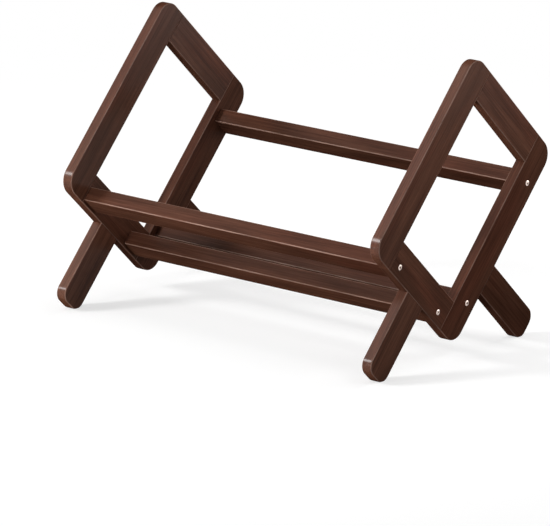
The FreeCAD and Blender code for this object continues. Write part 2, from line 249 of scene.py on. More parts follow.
Number = Union[Sock, float, int]
Input = Union[Sock, float, int, Sequence[float]]


class Graph:
    """The node tree of a material or of the world."""

    def __init__(self, tree: bpy.types.NodeTree) -> None:
        """Empties a tree, ready for new nodes."""
        self.tree = tree
        tree.nodes.clear()

    @classmethod
    def of_material(cls, name: str) -> tuple[bpy.types.Material, "Graph"]:
        """Starts a new material.

        Args:
            name: The material's name.

        Returns:
            The material and its graph.
        """
        material = bpy.data.materials.new(name)
        material.use_nodes = True
        return material, cls(material.node_tree)

    def add(
        self,
        kind: str,
        settings: Optional[dict[str, Any]] = None,
        inputs: Optional[dict[Union[int, str], Input]] = None,
        output: Union[int, str] = 0,
    ) -> Optional[Sock]:
        """Adds one node.

        Args:
            kind: The node's type.
            settings: Its settings.
            inputs: The values or links of its sockets, by name or number.
            output: The output to hand back, by name or number.

        Returns:
            That output, or nothing from a node that has none.
        """
        node = self.tree.nodes.new(kind)
        for name, setting in (settings or {}).items():
            setattr(node, name, setting)
        for name, value in (inputs or {}).items():
            if isinstance(value, Sock):
                self.tree.links.new(value.socket, node.inputs[name])
            else:
                node.inputs[name].default_value = value
        return Sock(self, node.outputs[output]) if node.outputs else None

    def attribute(self, name: str, output: str = "Fac") -> Sock:
        """Reads one of the piece's own point attributes."""
        return self.add("ShaderNodeAttribute", {"attribute_name": name}, {}, output)

    def place(self) -> Sock:
        """Reads the piece's own coordinates in metres."""
        return self.add("ShaderNodeTexCoord", {}, {}, "Object")

    def stretched(self, vector: Sock, scale: Triple) -> Sock:
        """Stretches a pattern's coordinates by a scale for each axis."""
        return self.add("ShaderNodeMapping", {}, {"Vector": vector, "Scale": scale})

    def reach(self, vector: Sock) -> Sock:
        """Gives how far a place lies from the origin."""
        return self.add("ShaderNodeVectorMath", {"operation": "LENGTH"}, {0: vector}, "Value")

    def range(self, value: Sock, low: float, high: float) -> Sock:
        """Turns a stretch of a value smoothly into 0 to 1, held at the ends.

        Args:
            value: The value.
            low: Where the stretch starts.
            high: Where it ends.

        Returns:
            A value from 0 to 1.
        """
        settings = {"interpolation_type": "SMOOTHSTEP", "clamp": True}
        inputs = {"Value": value, "From Min": low, "From Max": high}
        return self.add("ShaderNodeMapRange", settings, inputs)

    def blend(self, share: Number, first: Input, second: Input, mode: str = "MIX") -> Sock:
        """Mixes two colours.

        Args:
            share: How much of the second there is.
            first: The first colour.
            second: The second colour.
            mode: How they are mixed.

        Returns:
            The mixed colour.
        """
        settings = {"data_type": "RGBA", "blend_type": mode, "clamp_factor": True}
        return self.add("ShaderNodeMix", settings, {0: share, 6: first, 7: second}, 2)

    def bump(self, height: Sock, strength: float, distance: float) -> Sock:
        """Tilts the surface by a height, for the shader's Normal."""
        inputs = {"Strength": strength, "Distance": distance, "Height": height}
        return self.add("ShaderNodeBump", {}, inputs)

    def close(self, shader: Sock, kind: str = "ShaderNodeOutputMaterial") -> None:
        """Ends the graph in its output."""
        self.add(kind, {}, {"Surface": shader})


@dataclass(frozen=True)
class Pattern:
    """A noise, with its cells counted to the metre along the grain and across it both ways."""

    cells: Triple
    detail: float
    rough: float = 0.5
    span: Optional[Span] = None

    def on(self, graph: Graph, vector: Sock) -> Sock:
        """Lays the pattern on coordinates.

        Args:
            graph: The graph to add it to.
            vector: The coordinates in metres.

        Returns:
            A value around a half, or the pattern's span of it as 0 to 1.
        """
        inputs = {"Vector": graph.stretched(vector, self.cells), "Scale": 1.0,
                  "Detail": self.detail, "Roughness": self.rough}
        noise = graph.add("ShaderNodeTexNoise", {}, inputs)
        return graph.range(noise, *self.span) if self.span else noise


@dataclass(frozen=True)
class WalnutStain:
    """Dark walnut stain under a thin satin lacquer, with the grain along each board."""

    name: str = "walnut_stain"
    dark: Colour = (0.048, 0.0170, 0.0098, 1.0)
    light: Colour = (0.134, 0.0560, 0.0340, 1.0)
    red: Colour = (0.160, 0.0500, 0.0290, 1.0)
    # Lighter colour along the eased edges: partly rubbed-through wear, partly a painted highlight on the
    # arrises.
    worn_and_highlight: Colour = (0.420, 0.2600, 0.2000, 1.0)
    drift: Pattern = Pattern((2.4, 17.0, 17.0), 2.0)
    fibre: Pattern = Pattern((13.0, 640.0, 640.0), 4.0, 0.62)
    streak: Pattern = Pattern((7.0, 300.0, 300.0), 3.0, 0.60)
    pore: Pattern = Pattern((60.0, 1500.0, 1500.0), 2.0, span=(0.58, 0.74))
    patch: Pattern = Pattern((3.2, 24.0, 24.0), 2.0, span=(0.46, 0.72))
    mottle: Pattern = Pattern((8.0, 50.0, 50.0), 2.0, span=(0.3, 0.7))
    # Breaks up the worn colour and painted highlight along the edges.
    scuff_and_highlight: Pattern = Pattern((26.0, 60.0, 60.0), 3.0, span=(0.35, 0.66))
    ring_stretch: Triple = (0.05, 1.0, 1.0)
    ring_turns: float = 820.0
    ring_drift: float = 16.0
    ring_share: float = 0.06
    fibre_share: float = 0.66
    streak_share: float = 0.32
    figure_span: Span = (0.18, 0.86)
    red_share: float = 0.60
    pore_share: float = 0.55
    # The least share, and what the pattern adds to it.
    mottle_share: Span = (0.82, 0.36)
    scuff_and_highlight_share: Span = (0.28, 0.36)
    fibre_relief: float = 0.6
    streak_relief: float = 0.5
    pore_relief: float = 0.7
    relief: float = 0.22
    relief_height: float = 0.0004
    wood_rough: float = 0.48
    fibre_rough: float = 0.16
    pore_rough: float = 0.12
    wood_level: float = 0.0
    lacquer: float = 0.40
    lacquer_rough: float = 0.25
    lacquer_span: Span = (0.50, 0.80)
    lacquer_fade: float = 4.0

    def material(self) -> bpy.types.Material:
        """Makes the finish from the boards' own grain, wear and tone attributes; the lighter colour on
        the eased edges is partly wear and partly a painted highlight.

        Returns:
            The material.
        """
        material, graph = Graph.of_material(self.name)
        grain = graph.attribute("grain", "Vector")
        wear_and_highlight, tone = graph.attribute("wear_and_highlight"), graph.attribute("tone")
        woody = (self.drift, self.fibre, self.streak, self.pore, self.patch, self.mottle, self.scuff_and_highlight)
        drift, fibre, streak, pore, patch, mottle, scuff_and_highlight = (one.on(graph, grain) for one in woody)
        reach = graph.reach(graph.stretched(grain, self.ring_stretch))
        rings = (reach * self.ring_turns + drift * self.ring_drift).sine() * 0.5 + 0.5
        figure = rings * self.ring_share + fibre * self.fibre_share + streak * self.streak_share
        figure = graph.range(figure, *self.figure_span)
        stain = graph.blend(figure, self.dark, self.light)
        reddish = graph.blend(figure, self.dark, self.red)
        stain = graph.blend(patch * self.red_share, stain, reddish)
        least, more = self.mottle_share
        depth = tone * (mottle * more + least)
        shade = graph.add("ShaderNodeCombineColor", {}, {0: depth, 1: depth, 2: depth})
        stain = graph.blend(1.0, stain, shade, "MULTIPLY")
        stain = graph.blend(pore * self.pore_share, stain, self.dark)
        least, more = self.scuff_and_highlight_share
        # Lightens the eased edges with wear and a painted highlight.
        stain = graph.blend(wear_and_highlight * (scuff_and_highlight * more + least), stain, self.worn_and_highlight)
        height = fibre * self.fibre_relief + streak * self.streak_relief - pore * self.pore_relief
        glance = graph.add("ShaderNodeLayerWeight", {}, {"Blend": 0.5}, "Facing")
        shine = graph.range(1.0 - glance, *self.lacquer_span)
        shader = graph.add("ShaderNodeBsdfPrincipled", {}, {
            "Base Color": stain,
            "Roughness": fibre * self.fibre_rough + pore * self.pore_rough + self.wood_rough,
            "Specular IOR Level": self.wood_level,
            "Coat Weight": tone ** self.lacquer_fade * shine * self.lacquer,
            "Coat Roughness": self.lacquer_rough,
            "Normal": graph.bump(height, self.relief, self.relief_height),
        })
        graph.close(shader)
        return material


@dataclass(frozen=True)
class DowelBeech:
    """Plain beech of the hidden dowels."""

    name: str = "dowel_beech"
    pale: Colour = (0.560, 0.380, 0.230, 1.0)
    deep: Colour = (0.380, 0.230, 0.120, 1.0)
    fleck: Pattern = Pattern((120.0, 1600.0, 1600.0), 3.0)
    cloud: Pattern = Pattern((20.0, 160.0, 160.0), 1.0)
    fleck_share: float = 0.6
    cloud_share: float = 0.4
    figure_span: Span = (0.35, 0.66)
    wood_rough: float = 0.5
    fleck_rough: float = 0.2
    relief: float = 0.2
    relief_height: float = 0.0002

    def material(self) -> bpy.types.Material:
        """Makes the finish from the pins' own grain attribute.

        Returns:
            The material.
        """
        material, graph = Graph.of_material(self.name)
        grain = graph.attribute("grain", "Vector")
        fleck, cloud = self.fleck.on(graph, grain), self.cloud.on(graph, grain)
        figure = graph.range(fleck * self.fleck_share + cloud * self.cloud_share, *self.figure_span)
        shader = graph.add("ShaderNodeBsdfPrincipled", {}, {
            "Base Color": graph.blend(figure, self.deep, self.pale),
            "Roughness": fleck * self.fleck_rough + self.wood_rough,
            "Normal": graph.bump(fleck, self.relief, self.relief_height),
        })
        graph.close(shader)
        return material


@dataclass(frozen=True)
class ScrewSteel:
    """Plated steel of the screws, a little clouded, with painted shade at the bottom of the recess."""

    name: str = "screw_steel"
    bright: Colour = (0.820, 0.680, 0.610, 1.0)
    dull: Colour = (0.560, 0.450, 0.400, 1.0)
    # Painted shade at the bottom of the screws' cross recess.
    recess_shade: Colour = (0.110, 0.085, 0.075, 1.0)
    cloud: Pattern = Pattern((700.0, 700.0, 700.0), 3.0, span=(0.35, 0.7))
    brush: Pattern = Pattern((300.0, 4200.0, 4200.0), 2.0)
    recess_span: Span = (0.0, 0.5)
    steel_rough: float = 0.24
    brush_rough: float = 0.12
    cloud_rough: float = 0.14
    relief: float = 0.12
    relief_height: float = 0.0001

    def material(self) -> bpy.types.Material:
        """Makes the finish on the screws' own coordinates.

        Returns:
            The material.
        """
        material, graph = Graph.of_material(self.name)
        place = graph.place()
        cloud, brush = self.cloud.on(graph, place), self.brush.on(graph, place)
        # The recess floor gets the painted shade colour.
        inside = graph.range(graph.attribute("recess"), *self.recess_span)
        steel = graph.blend(cloud, self.bright, self.dull)
        shader = graph.add("ShaderNodeBsdfPrincipled", {}, {
            "Base Color": graph.blend(inside, steel, self.recess_shade),
            "Metallic": 1.0,
            "Roughness": brush * self.brush_rough + cloud * self.cloud_rough + self.steel_rough,
            "Normal": graph.bump(brush, self.relief, self.relief_height),
        })
        graph.close(shader)
        return material


@dataclass(frozen=True)
class Hole:
    """A round hole, with a countersink where it has a wider mouth."""

    mouth: Vector
    inward: Vector
    width: float
    depth: float
    sink_width: float = 0.0
    overshoot: float = 0.002
    round_steps: int = 40

    def cutter(self) -> bmesh.types.BMesh:
        """Makes the form that the hole takes out of the wood, standing a little out of its mouth.

        Returns:
            The form, where the hole is.
        """
        narrow, wide, above = self.width / 2, self.sink_width / 2, -self.overshoot
        start = [(0.0, above)]
        if wide > narrow:
            start += [(wide + self.overshoot, above), (narrow, wide - narrow)]
        else:
            start += [(narrow, above)]
        mesh = turned(start + [(narrow, self.depth), (0.0, self.depth)], self.round_steps)
        bmesh.ops.transform(mesh, matrix=aimed(self.mouth, self.inward), verts=mesh.verts)
        return mesh


def turned(profile: Sequence[tuple[float, float]], steps: int) -> bmesh.types.BMesh:
    """Spins a profile about Z into a closed form.

    Args:
        profile: Radius and height of each point, from one pole to the other.
        steps: Steps round the axis.

    Returns:
        The form, with its faces pointing outwards.
    """
    mesh = bmesh.new()
    points = [mesh.verts.new((radius, 0, height)) for radius, height in profile]
    edges = [mesh.edges.new(ends) for ends in zip(points, points[1:])]
    bmesh.ops.spin(mesh, geom=points + edges, cent=(0, 0, 0), axis=(0, 0, 1), dvec=(0, 0, 0),
                   angle=math.tau, steps=steps, use_merge=True)
    bmesh.ops.remove_doubles(mesh, verts=mesh.verts, dist=SPECK)
    bmesh.ops.recalc_face_normals(mesh, faces=mesh.faces)
    return mesh


def joined(forms: Sequence[bmesh.types.BMesh], name: str) -> bpy.types.Mesh:
    """Puts several forms into one mesh.

    Args:
        forms: The forms, which are used up.
        name: The mesh's name.

    Returns:
        The mesh.
    """
    whole = bmesh.new()
    for form in forms:
        part = bpy.data.meshes.new(name)
        form.to_mesh(part)
        form.free()
        whole.from_mesh(part)
        bpy.data.meshes.remove(part)
    mesh = bpy.data.meshes.new(name)
    whole.to_mesh(mesh)
    whole.free()
    return mesh


def repeated(one: bpy.types.Mesh, places: Sequence[Matrix], name: str) -> bpy.types.Mesh:
    """Puts copies of one mesh into another, their points one copy after the other.

    Args:
        one: The mesh to repeat.
        places: The move of each copy.
        name: The new mesh's name.

    Returns:
        The mesh.
    """
    forms = []
    for place in places:
        form = bmesh.new()
        form.from_mesh(one)
        bmesh.ops.transform(form, matrix=place, verts=form.verts)
        forms.append(form)
    return joined(forms, name)


def aimed(place: Vector, way: Vector) -> Matrix:
    """Gives the move that takes the Z axis to a place and a way."""
    return Matrix.Translation(place) @ way.to_track_quat("Z", "Y").to_matrix().to_4x4()


def cut_away(solid: bpy.types.Mesh, tool: bpy.types.Mesh, name: str) -> bpy.types.Mesh:
    """Cuts one closed form out of another.

    Args:
        solid: The form to cut, which is used up.
        tool: The form to take away, which is used up.
        name: The name of the result.

    Returns:
        What is left of the solid.
    """
    scene = bpy.context.scene.collection.objects
    pair = [bpy.data.objects.new(name, mesh) for mesh in (solid, tool)]
    for piece in pair:
        scene.link(piece)
    cut = pair[0].modifiers.new("cut", "BOOLEAN")
    cut.operation = "DIFFERENCE"
    cut.solver = "EXACT"
    cut.object = pair[1]
    ready = pair[0].evaluated_get(bpy.context.evaluated_depsgraph_get())
    result = bpy.data.meshes.new_from_object(ready)
    result.name = name
    for piece in pair:
        bpy.data.objects.remove(piece)
    for mesh in (solid, tool):
        bpy.data.meshes.remove(mesh)
    return result


def mark(mesh: bpy.types.Mesh, name: str, values: Sequence[Union[float, Vector]]) -> None:
    """Gives each point of a mesh a number or a vector of its own.

    Args:
        mesh: The mesh.
        name: The attribute's name.
        values: The numbers or vectors, in the order of the points.
    """
    vectors = isinstance(values[0], Vector)
    attribute = mesh.attributes.new(name, "FLOAT_VECTOR" if vectors else "FLOAT", "POINT")
    for item, value in zip(attribute.data, values):
        setattr(item, "vector" if vectors else "value", value)


def finished(mesh: bpy.types.Mesh, finish: bpy.types.Material, node: str,
             slot: Slot) -> bpy.types.Object:
    """Makes a piece of a mesh that is already in place.

    Args:
        mesh: The mesh.
        finish: Its material.
        node: The CAD node that it stands for.
        slot: The record's material slot.

    Returns:
        The piece.
    """
    mesh.materials.clear()
    mesh.materials.append(finish)
    mesh.shade_smooth()
    mesh.set_sharp_from_angle(angle=CRISP_ANGLE)
    piece = bpy.data.objects.new(f"{node}_{slot.stuff}", mesh)
    bpy.context.scene.collection.objects.link(piece)
    weighted = piece.modifiers.new("even_faces", "WEIGHTED_NORMAL")
    weighted.keep_sharp = True
    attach(piece, BODY)
    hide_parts(node)
    ends = (piece.bound_box[0], piece.bound_box[6])
    gap = max(abs(mine - solid) for pair in zip(ends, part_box(node)) for mine, solid in zip(*pair))
    LOG.info("%s: %d faces, %.3f mm from its solid's box", piece.name, len(mesh.polygons), gap * 1000)
    return piece


@dataclass
class Board:
    """One board, in the leaning frame's axes, with its rounded corners, eased edges and holes."""

    node: str
    low: Vector
    high: Vector
    grain: Axis
    sizes: RackSizes
    number: int
    corners: tuple[Span, ...] = ()
    corner_radius: float = 0.0
    corner_steps: int = 20
    ease_steps: int = 4
    square_ends: tuple[tuple[Axis, float], ...] = ()
    foot: Optional[Vector] = None
    holes: list[Hole] = field(default_factory=list)
    # Multiplies the board's colour; on the back bar, bottom bar and back leg this darkening is painted
    # shade.
    tone: float = 1.0
    # Share of the lighter edge colour on eased edges, partly wear and partly a painted highlight.
    rub_and_highlight: float = 0.65
    grain_step: Triple = (0.731, 0.137, 0.059)
    heart_gap: Span = (0.06, 0.05)
    heart_spread: Span = (0.05, 0.07)

    def _round(self, mesh: bmesh.types.BMesh, edges: list[bmesh.types.BMEdge], radius: float,
               steps: int) -> None:
        """Rounds some edges to a radius."""
        bmesh.ops.bevel(mesh, geom=edges, offset=radius, offset_type="OFFSET", affect="EDGES",
                        segments=steps, profile=0.5, material=-1)

    def _corner_edges(self, mesh: bmesh.types.BMesh) -> list[bmesh.types.BMEdge]:
        """Finds the edges along X at the corners that are rounded.

        Args:
            mesh: The board so far.

        Returns:
            The edges.
        """
        found = []
        for edge in mesh.edges:
            first, second = (vert.co for vert in edge.verts)
            if abs(first.x - second.x) > HAIR:
                if any(abs(first.y - y) + abs(first.z - z) < HAIR for y, z in self.corners):
                    found.append(edge)
        return found

    def _at(self, edge: bmesh.types.BMEdge, axis: Axis, place: float) -> bool:
        """Says whether an edge lies wholly at one place of an axis."""
        return all(abs(vert.co[axis.value] - place) < HAIR for vert in edge.verts)

    def _eased_edges(self, mesh: bmesh.types.BMesh) -> list[bmesh.types.BMEdge]:
        """Finds the edges that are eased: a rail's long ones, or the rims of a bar's two faces.

        Args:
            mesh: The board so far.

        Returns:
            The edges.
        """
        if self.grain is Axis.LENGTH:
            return [edge for edge in mesh.edges if abs(edge.verts[0].co.x - edge.verts[1].co.x) > HAIR]
        faces = (self.low.x, self.high.x)
        rims = [edge for edge in mesh.edges if any(self._at(edge, Axis.LENGTH, x) for x in faces)]
        return [edge for edge in rims
                if not any(self._at(edge, axis, place) for axis, place in self.square_ends)]

    def _flatten_foot(self, mesh: bmesh.types.BMesh) -> None:
        """Takes the level flat off a foot's rounded corner.

        Args:
            mesh: The board so far.
        """
        down = self.sizes.down
        place = self.foot + down * (self.sizes.leg_corner - self.sizes.foot_flat)
        geometry = list(mesh.verts) + list(mesh.edges) + list(mesh.faces)
        cut = bmesh.ops.bisect_plane(mesh, geom=geometry, dist=SPECK, plane_co=place,
                                     plane_no=down, clear_outer=True)
        rim = [item for item in cut["geom_cut"] if isinstance(item, bmesh.types.BMEdge)]
        bmesh.ops.contextual_create(mesh, geom=rim)

    def shape(self) -> bpy.types.Mesh:
        """Builds the board in the leaning frame's axes.

        Returns:
            The board's mesh.
        """
        mesh = bmesh.new()
        size = self.high - self.low
        place = Matrix.Translation((self.low + self.high) / 2) @ Matrix.Diagonal((*size, 1.0))
        bmesh.ops.create_cube(mesh, size=1.0, matrix=place)
        if self.corners:
            self._round(mesh, self._corner_edges(mesh), self.corner_radius, self.corner_steps)
        self._round(mesh, self._eased_edges(mesh), self.sizes.ease, self.ease_steps)
        if self.foot is not None:
            self._flatten_foot(mesh)
        bmesh.ops.recalc_face_normals(mesh, faces=mesh.faces)
        solid = joined([mesh], self.node)
        if not self.holes:
            return solid
        return cut_away(solid, joined([hole.cutter() for hole in self.holes], "drill"), self.node)

    def _wear(self, place: Vector) -> float:
        """Gives how much lighter colour a point has, which it has on eased edges: partly rubbed-through
        wear, partly a painted highlight.

        Args:
            place: The point.

        Returns:
            The board's share of wear and painted highlight on an eased edge, and 0 elsewhere.
        """
        ease = self.sizes.ease - HAIR
        inside = [HAIR < min(place[i] - self.low[i], self.high[i] - place[i]) < ease for i in range(3)]
        worn_and_highlight = inside[1] and inside[2] if self.grain is Axis.LENGTH else inside[0]
        return self.rub_and_highlight if worn_and_highlight else 0.0

    @property
    def _cut_from(self) -> Vector:
        """The place in the tree that the board is cut from, along its grain and from its heart."""
        step = Vector(self.grain_step) * (self.number + 1)
        return Vector((step.x, self.heart_gap[0] + step.y % self.heart_spread[0],
                       self.heart_gap[1] + step.z % self.heart_spread[1]))

    def build(self, finish: bpy.types.Material) -> bpy.types.Object:
        """Builds the board in place and dresses it.

        Args:
            finish: The wood's material.

        Returns:
            The finished piece.
        """
        mesh = self.shape()
        tree, order = self._cut_from, self.grain.grain_order
        places = [vert.co.copy() for vert in mesh.vertices]
        mark(mesh, "grain", [Vector([place[i] for i in order]) + tree for place in places])
        mark(mesh, "wear_and_highlight", [self._wear(place) for place in places])
        mark(mesh, "tone", [self.tone] * len(places))
        mesh.transform(self.sizes.to_world)
        return finished(mesh, finish, self.node, Slot.STAINED_WOOD)


@dataclass
class Joinery:
    """The sizes of the dowel and screw holes, in metres."""

    dowel_hole: float = 0.0061
    dowel_hole_depth: float = 0.0125
    dowel_spacing: float = 0.020
    rail_dowel_depth: float = 0.0085
    rail_dowel_reach: float = 0.0125
    rail_dowel_offset: float = 0.009
    screw_hole: float = 0.0041
    screw_overrun: float = 0.002
    screw_pilot: float = 0.0265
    screw_mouth: float = 0.0084

    def pair(self, mouth: Vector, apart: Axis, inward: Vector) -> list[Hole]:
        """Gives the two dowel holes of a joint.

        Args:
            mouth: The middle of the joint's face.
            apart: The axis that the two lie along.
            inward: The way into the wood.

        Returns:
            The two holes.
        """
        step = apart.unit * (self.dowel_spacing / 2)
        return [Hole(mouth + sign * step, inward, self.dowel_hole, self.dowel_hole_depth)
                for sign in (-1, 1)]


@dataclass
class SideFrame:
    """One side of the rack: four bars and two legs, butted and dowelled."""

    side: Side
    sizes: RackSizes = field(default_factory=RackSizes)
    joinery: Joinery = field(default_factory=Joinery)
    # Darker tones on the back bar, bottom bar and back leg are painted shade, for light that falls off
    # towards the back and the bottom.
    back_bar_tone: float = 0.77
    bottom_bar_tone: float = 0.90
    back_leg_tone: float = 0.63

    @property
    def _ends(self) -> Span:
        """The lowest and highest X of the frame's boards."""
        sign, size = self.side.value, self.sizes
        edges = sorted((sign * size.length / 2, sign * size.inner_half))
        return edges[0], edges[1]

    @property
    def _middle(self) -> float:
        """The X of the middle of the boards' thickness."""
        return sum(self._ends) / 2

    @property
    def _rail_places(self) -> dict[str, Triple]:
        """The rails' places, by their nodes."""
        return Rails(self.sizes, self.joinery).places

    def _board(self, name: str, depth: Span, rise: Span, grain: Axis, number: int, **more: Any) -> Board:
        """Starts a board of this side.

        Args:
            name: Its name, without the side.
            depth: Where it starts and ends along the depth.
            rise: Where it starts and ends along the rise.
            grain: The axis of its grain.
            number: Its number in the frame.
            more: The board's other values.

        Returns:
            The board.
        """
        low = Vector((self._ends[0], depth[0], rise[0]))
        high = Vector((self._ends[1], depth[1], rise[1]))
        count = self.side.first_number + number
        return Board(f"{self.side.label}_{name}", low, high, grain, self.sizes, count, **more)

    def _rail_holes(self, depth: float, rise: float, dowel_step: float) -> list[Hole]:
        """Gives the countersunk screw hole and the blind dowel hole for one rail end.

        Args:
            depth: The rail's place along the depth.
            rise: The rail's place along the rise.
            dowel_step: How far along the depth the dowel lies from the screw.

        Returns:
            The screw's hole and the dowel's hole.
        """
        joinery, sign = self.joinery, self.side.value
        outer = Vector((sign * self.sizes.length / 2, depth, rise))
        inner = Vector((sign * self.sizes.inner_half, depth + dowel_step, rise))
        through = self.sizes.thickness + joinery.screw_overrun
        return [Hole(outer, Vector((-sign, 0, 0)), joinery.screw_hole, through, joinery.screw_mouth),
                Hole(inner, Vector((sign, 0, 0)), joinery.dowel_hole, joinery.rail_dowel_depth)]

    def _corner_holes(self, depth: float, inward: Vector) -> list[Hole]:
        """Gives the dowel holes of the bottom and the top corner, at one joint face.

        Args:
            depth: The joint face's place along the depth.
            inward: The way into the wood.

        Returns:
            The four holes.
        """
        rises = (self.sizes.bar / 2, self.sizes.rise - self.sizes.bar / 2)
        return [hole for rise in rises
                for hole in self.joinery.pair(Vector((self._middle, depth, rise)), Axis.RISE, inward)]

    def _front_leg_holes(self, inward: Vector) -> list[Hole]:
        """Gives the dowel holes of the front leg's joint."""
        place = Vector((self._middle, self.sizes.front_leg_centre, 0))
        return self.joinery.pair(place, Axis.DEPTH, inward)

    def _back_leg_holes(self, inward: Vector) -> list[Hole]:
        """Gives the dowel holes of the back leg's joint."""
        place = Vector((self._middle, self.sizes.depth, self.sizes.back_leg_centre))
        return self.joinery.pair(place, Axis.RISE, inward)

    @property
    def dowel_holes(self) -> dict[str, list[Hole]]:
        """One of the two holes that each dowel sits in, by the dowels' group."""
        size = self.sizes
        corners = self._corner_holes(size.bar, -Axis.DEPTH.unit)
        corners += self._corner_holes(size.depth - size.bar, Axis.DEPTH.unit)
        legs = self._front_leg_holes(Axis.RISE.unit) + self._back_leg_holes(-Axis.DEPTH.unit)
        rails = [self._rail_holes(*place)[1] for place in self._rail_places.values()]
        return {"frame_dowels": corners, "leg_dowels": legs, "rail_dowels": rails}

    def front_bar(self) -> Board:
        """Starts the full front bar, with its two front corners rounded.

        Returns:
            The board.
        """
        size = self.sizes
        return self._board("front_bar", (0, size.bar), (0, size.rise), Axis.RISE, 0,
                           corners=((0, 0), (0, size.rise)), corner_radius=size.corner,
                           holes=self._corner_holes(size.bar, -Axis.DEPTH.unit))

    def back_bar(self) -> Board:
        """Starts the full back bar, which carries the back leg and two rails.

        Returns:
            The board.
        """
        size = self.sizes
        start = size.depth - size.bar
        holes = self._corner_holes(start, Axis.DEPTH.unit) + self._back_leg_holes(-Axis.DEPTH.unit)
        for rail in ("lower_back_rail", "upper_back_rail"):
            holes += self._rail_holes(*self._rail_places[rail])
        return self._board("back_bar", (start, size.depth), (0, size.rise), Axis.RISE, 1,
                           corners=((size.depth, 0), (size.depth, size.rise)),
                           corner_radius=size.corner, holes=holes, tone=self.back_bar_tone)

    def _short_bar(self, name: str, rise: float, number: int, holes: list[Hole], **more: Any) -> Board:
        """Starts a bar between the front and the back bar, square at both ends.

        Args:
            name: Its name, without the side.
            rise: Where it starts along the rise.
            number: Its number in the frame.
            holes: Its holes, without those in its ends.
            more: The board's other values.

        Returns:
            The board.
        """
        size = self.sizes
        ends = (size.bar, size.depth - size.bar)
        middle = rise + size.bar / 2
        for depth, inward in zip(ends, (Axis.DEPTH.unit, -Axis.DEPTH.unit)):
            holes += self.joinery.pair(Vector((self._middle, depth, middle)), Axis.RISE, inward)
        return self._board(name, ends, (rise, rise + size.bar), Axis.DEPTH, number, holes=holes,
                           square_ends=tuple((Axis.DEPTH, end) for end in ends), **more)

    def bottom_bar(self) -> Board:
        """Starts the bottom bar, which carries the front leg and the two seat rails.

        Returns:
            The board.
        """
        holes = self._front_leg_holes(Axis.RISE.unit)
        for rail in ("front_seat_rail", "rear_seat_rail"):
            holes += self._rail_holes(*self._rail_places[rail])
        return self._short_bar("bottom_bar", 0, 2, holes, tone=self.bottom_bar_tone)

    def top_bar(self) -> Board:
        """Starts the top bar, which closes the frame."""
        return self._short_bar("top_bar", self.sizes.rise - self.sizes.bar, 3, [])

    def front_leg(self) -> Board:
        """Starts the leg under the bottom bar, in line with the front bar.

        Returns:
            The board.
        """
        size = self.sizes
        near, far = (size.front_leg_centre + sign * size.leg_width / 2 for sign in (-1, 1))
        end = -size.front_leg_length
        return self._board("front_leg", (near, far), (end, 0), Axis.RISE, 4,
                           corners=((near, end), (far, end)), corner_radius=size.leg_corner,
                           square_ends=((Axis.RISE, 0.0),), foot=size.front_foot,
                           holes=self._front_leg_holes(-Axis.RISE.unit))

    def back_leg(self) -> Board:
        """Starts the leg behind the back bar, in line with the bottom bar.

        Returns:
            The board.
        """
        size = self.sizes
        near, far = (size.back_leg_centre + sign * size.leg_width / 2 for sign in (-1, 1))
        end = size.back_leg_end
        return self._board("back_leg", (size.depth, end), (near, far), Axis.DEPTH, 5,
                           corners=((end, near), (end, far)), corner_radius=size.leg_corner,
                           square_ends=((Axis.DEPTH, size.depth),), foot=size.back_foot,
                           holes=self._back_leg_holes(Axis.DEPTH.unit), tone=self.back_leg_tone)

    def build(self, finish: bpy.types.Material) -> list[bpy.types.Object]:
        """Builds and dresses the frame's six boards.

        Args:
            finish: The wood's material.

        Returns:
            The pieces.
        """
        boards = (self.front_bar(), self.back_bar(), self.bottom_bar(), self.top_bar(),
                  self.front_leg(), self.back_leg())
        return [board.build(finish) for board in boards]


@dataclass
class Rails:
    """The four rails between the side frames."""

    sizes: RackSizes = field(default_factory=RackSizes)
    joinery: Joinery = field(default_factory=Joinery)
    tone: float = 0.78
    # Share of the lighter edge colour on the rails' eased edges, partly wear and partly a painted
    # highlight.
    rub_and_highlight: float = 1.0
    first_number: int = 20

    @property
    def places(self) -> dict[str, Triple]:
        """Each rail's middle by depth and rise, and the step from its screws to its dowels."""
        size, step = self.sizes, self.joinery.rail_dowel_offset
        seat = size.seat_lift + size.rail_height / 2
        back = size.depth - size.back_inset - size.rail_depth / 2
        return {
            "front_seat_rail": (size.front_seat_depth, seat, step),
            "rear_seat_rail": (size.rear_seat_depth, seat, -step),
            "lower_back_rail": (back, size.lower_back_rise, -step),
            "upper_back_rail": (back, size.upper_back_rise, -step),
        }

    def _holes(self, depth: float, rise: float, step: float) -> list[Hole]:
        """Gives the pilot and dowel holes in both ends of a rail.

        Args:
            depth: The rail's place along the depth.
            rise: The rail's place along the rise.
            step: How far along the depth the dowels lie from the screws.

        Returns:
            The four holes.
        """
        joinery, holes = self.joinery, []
        for sign in (-1, 1):
            inward, end = Vector((-sign, 0, 0)), sign * self.sizes.inner_half
            screw, dowel = Vector((end, depth, rise)), Vector((end, depth + step, rise))
            holes.append(Hole(screw, inward, joinery.screw_hole, joinery.screw_pilot))
            holes.append(Hole(dowel, inward, joinery.dowel_hole, joinery.rail_dowel_reach))
        return holes

    def build(self, finish: bpy.types.Material) -> list[bpy.types.Object]:
        """Builds and dresses the rails.

        Args:
            finish: The wood's material.

        Returns:
            The pieces.
        """
        size, pieces = self.sizes, []
        half = Vector((size.inner_half, size.rail_depth / 2, size.rail_height / 2))
        for number, (node, (depth, rise, step)) in enumerate(self.places.items(), self.first_number):
            middle = Vector((0, depth, rise))
            rail = Board(node, middle - half, middle + half, Axis.LENGTH, size, number,
                         holes=self._holes(depth, rise, step), tone=self.tone, rub_and_highlight=self.rub_and_highlight)
            pieces.append(rail.build(finish))
        return pieces


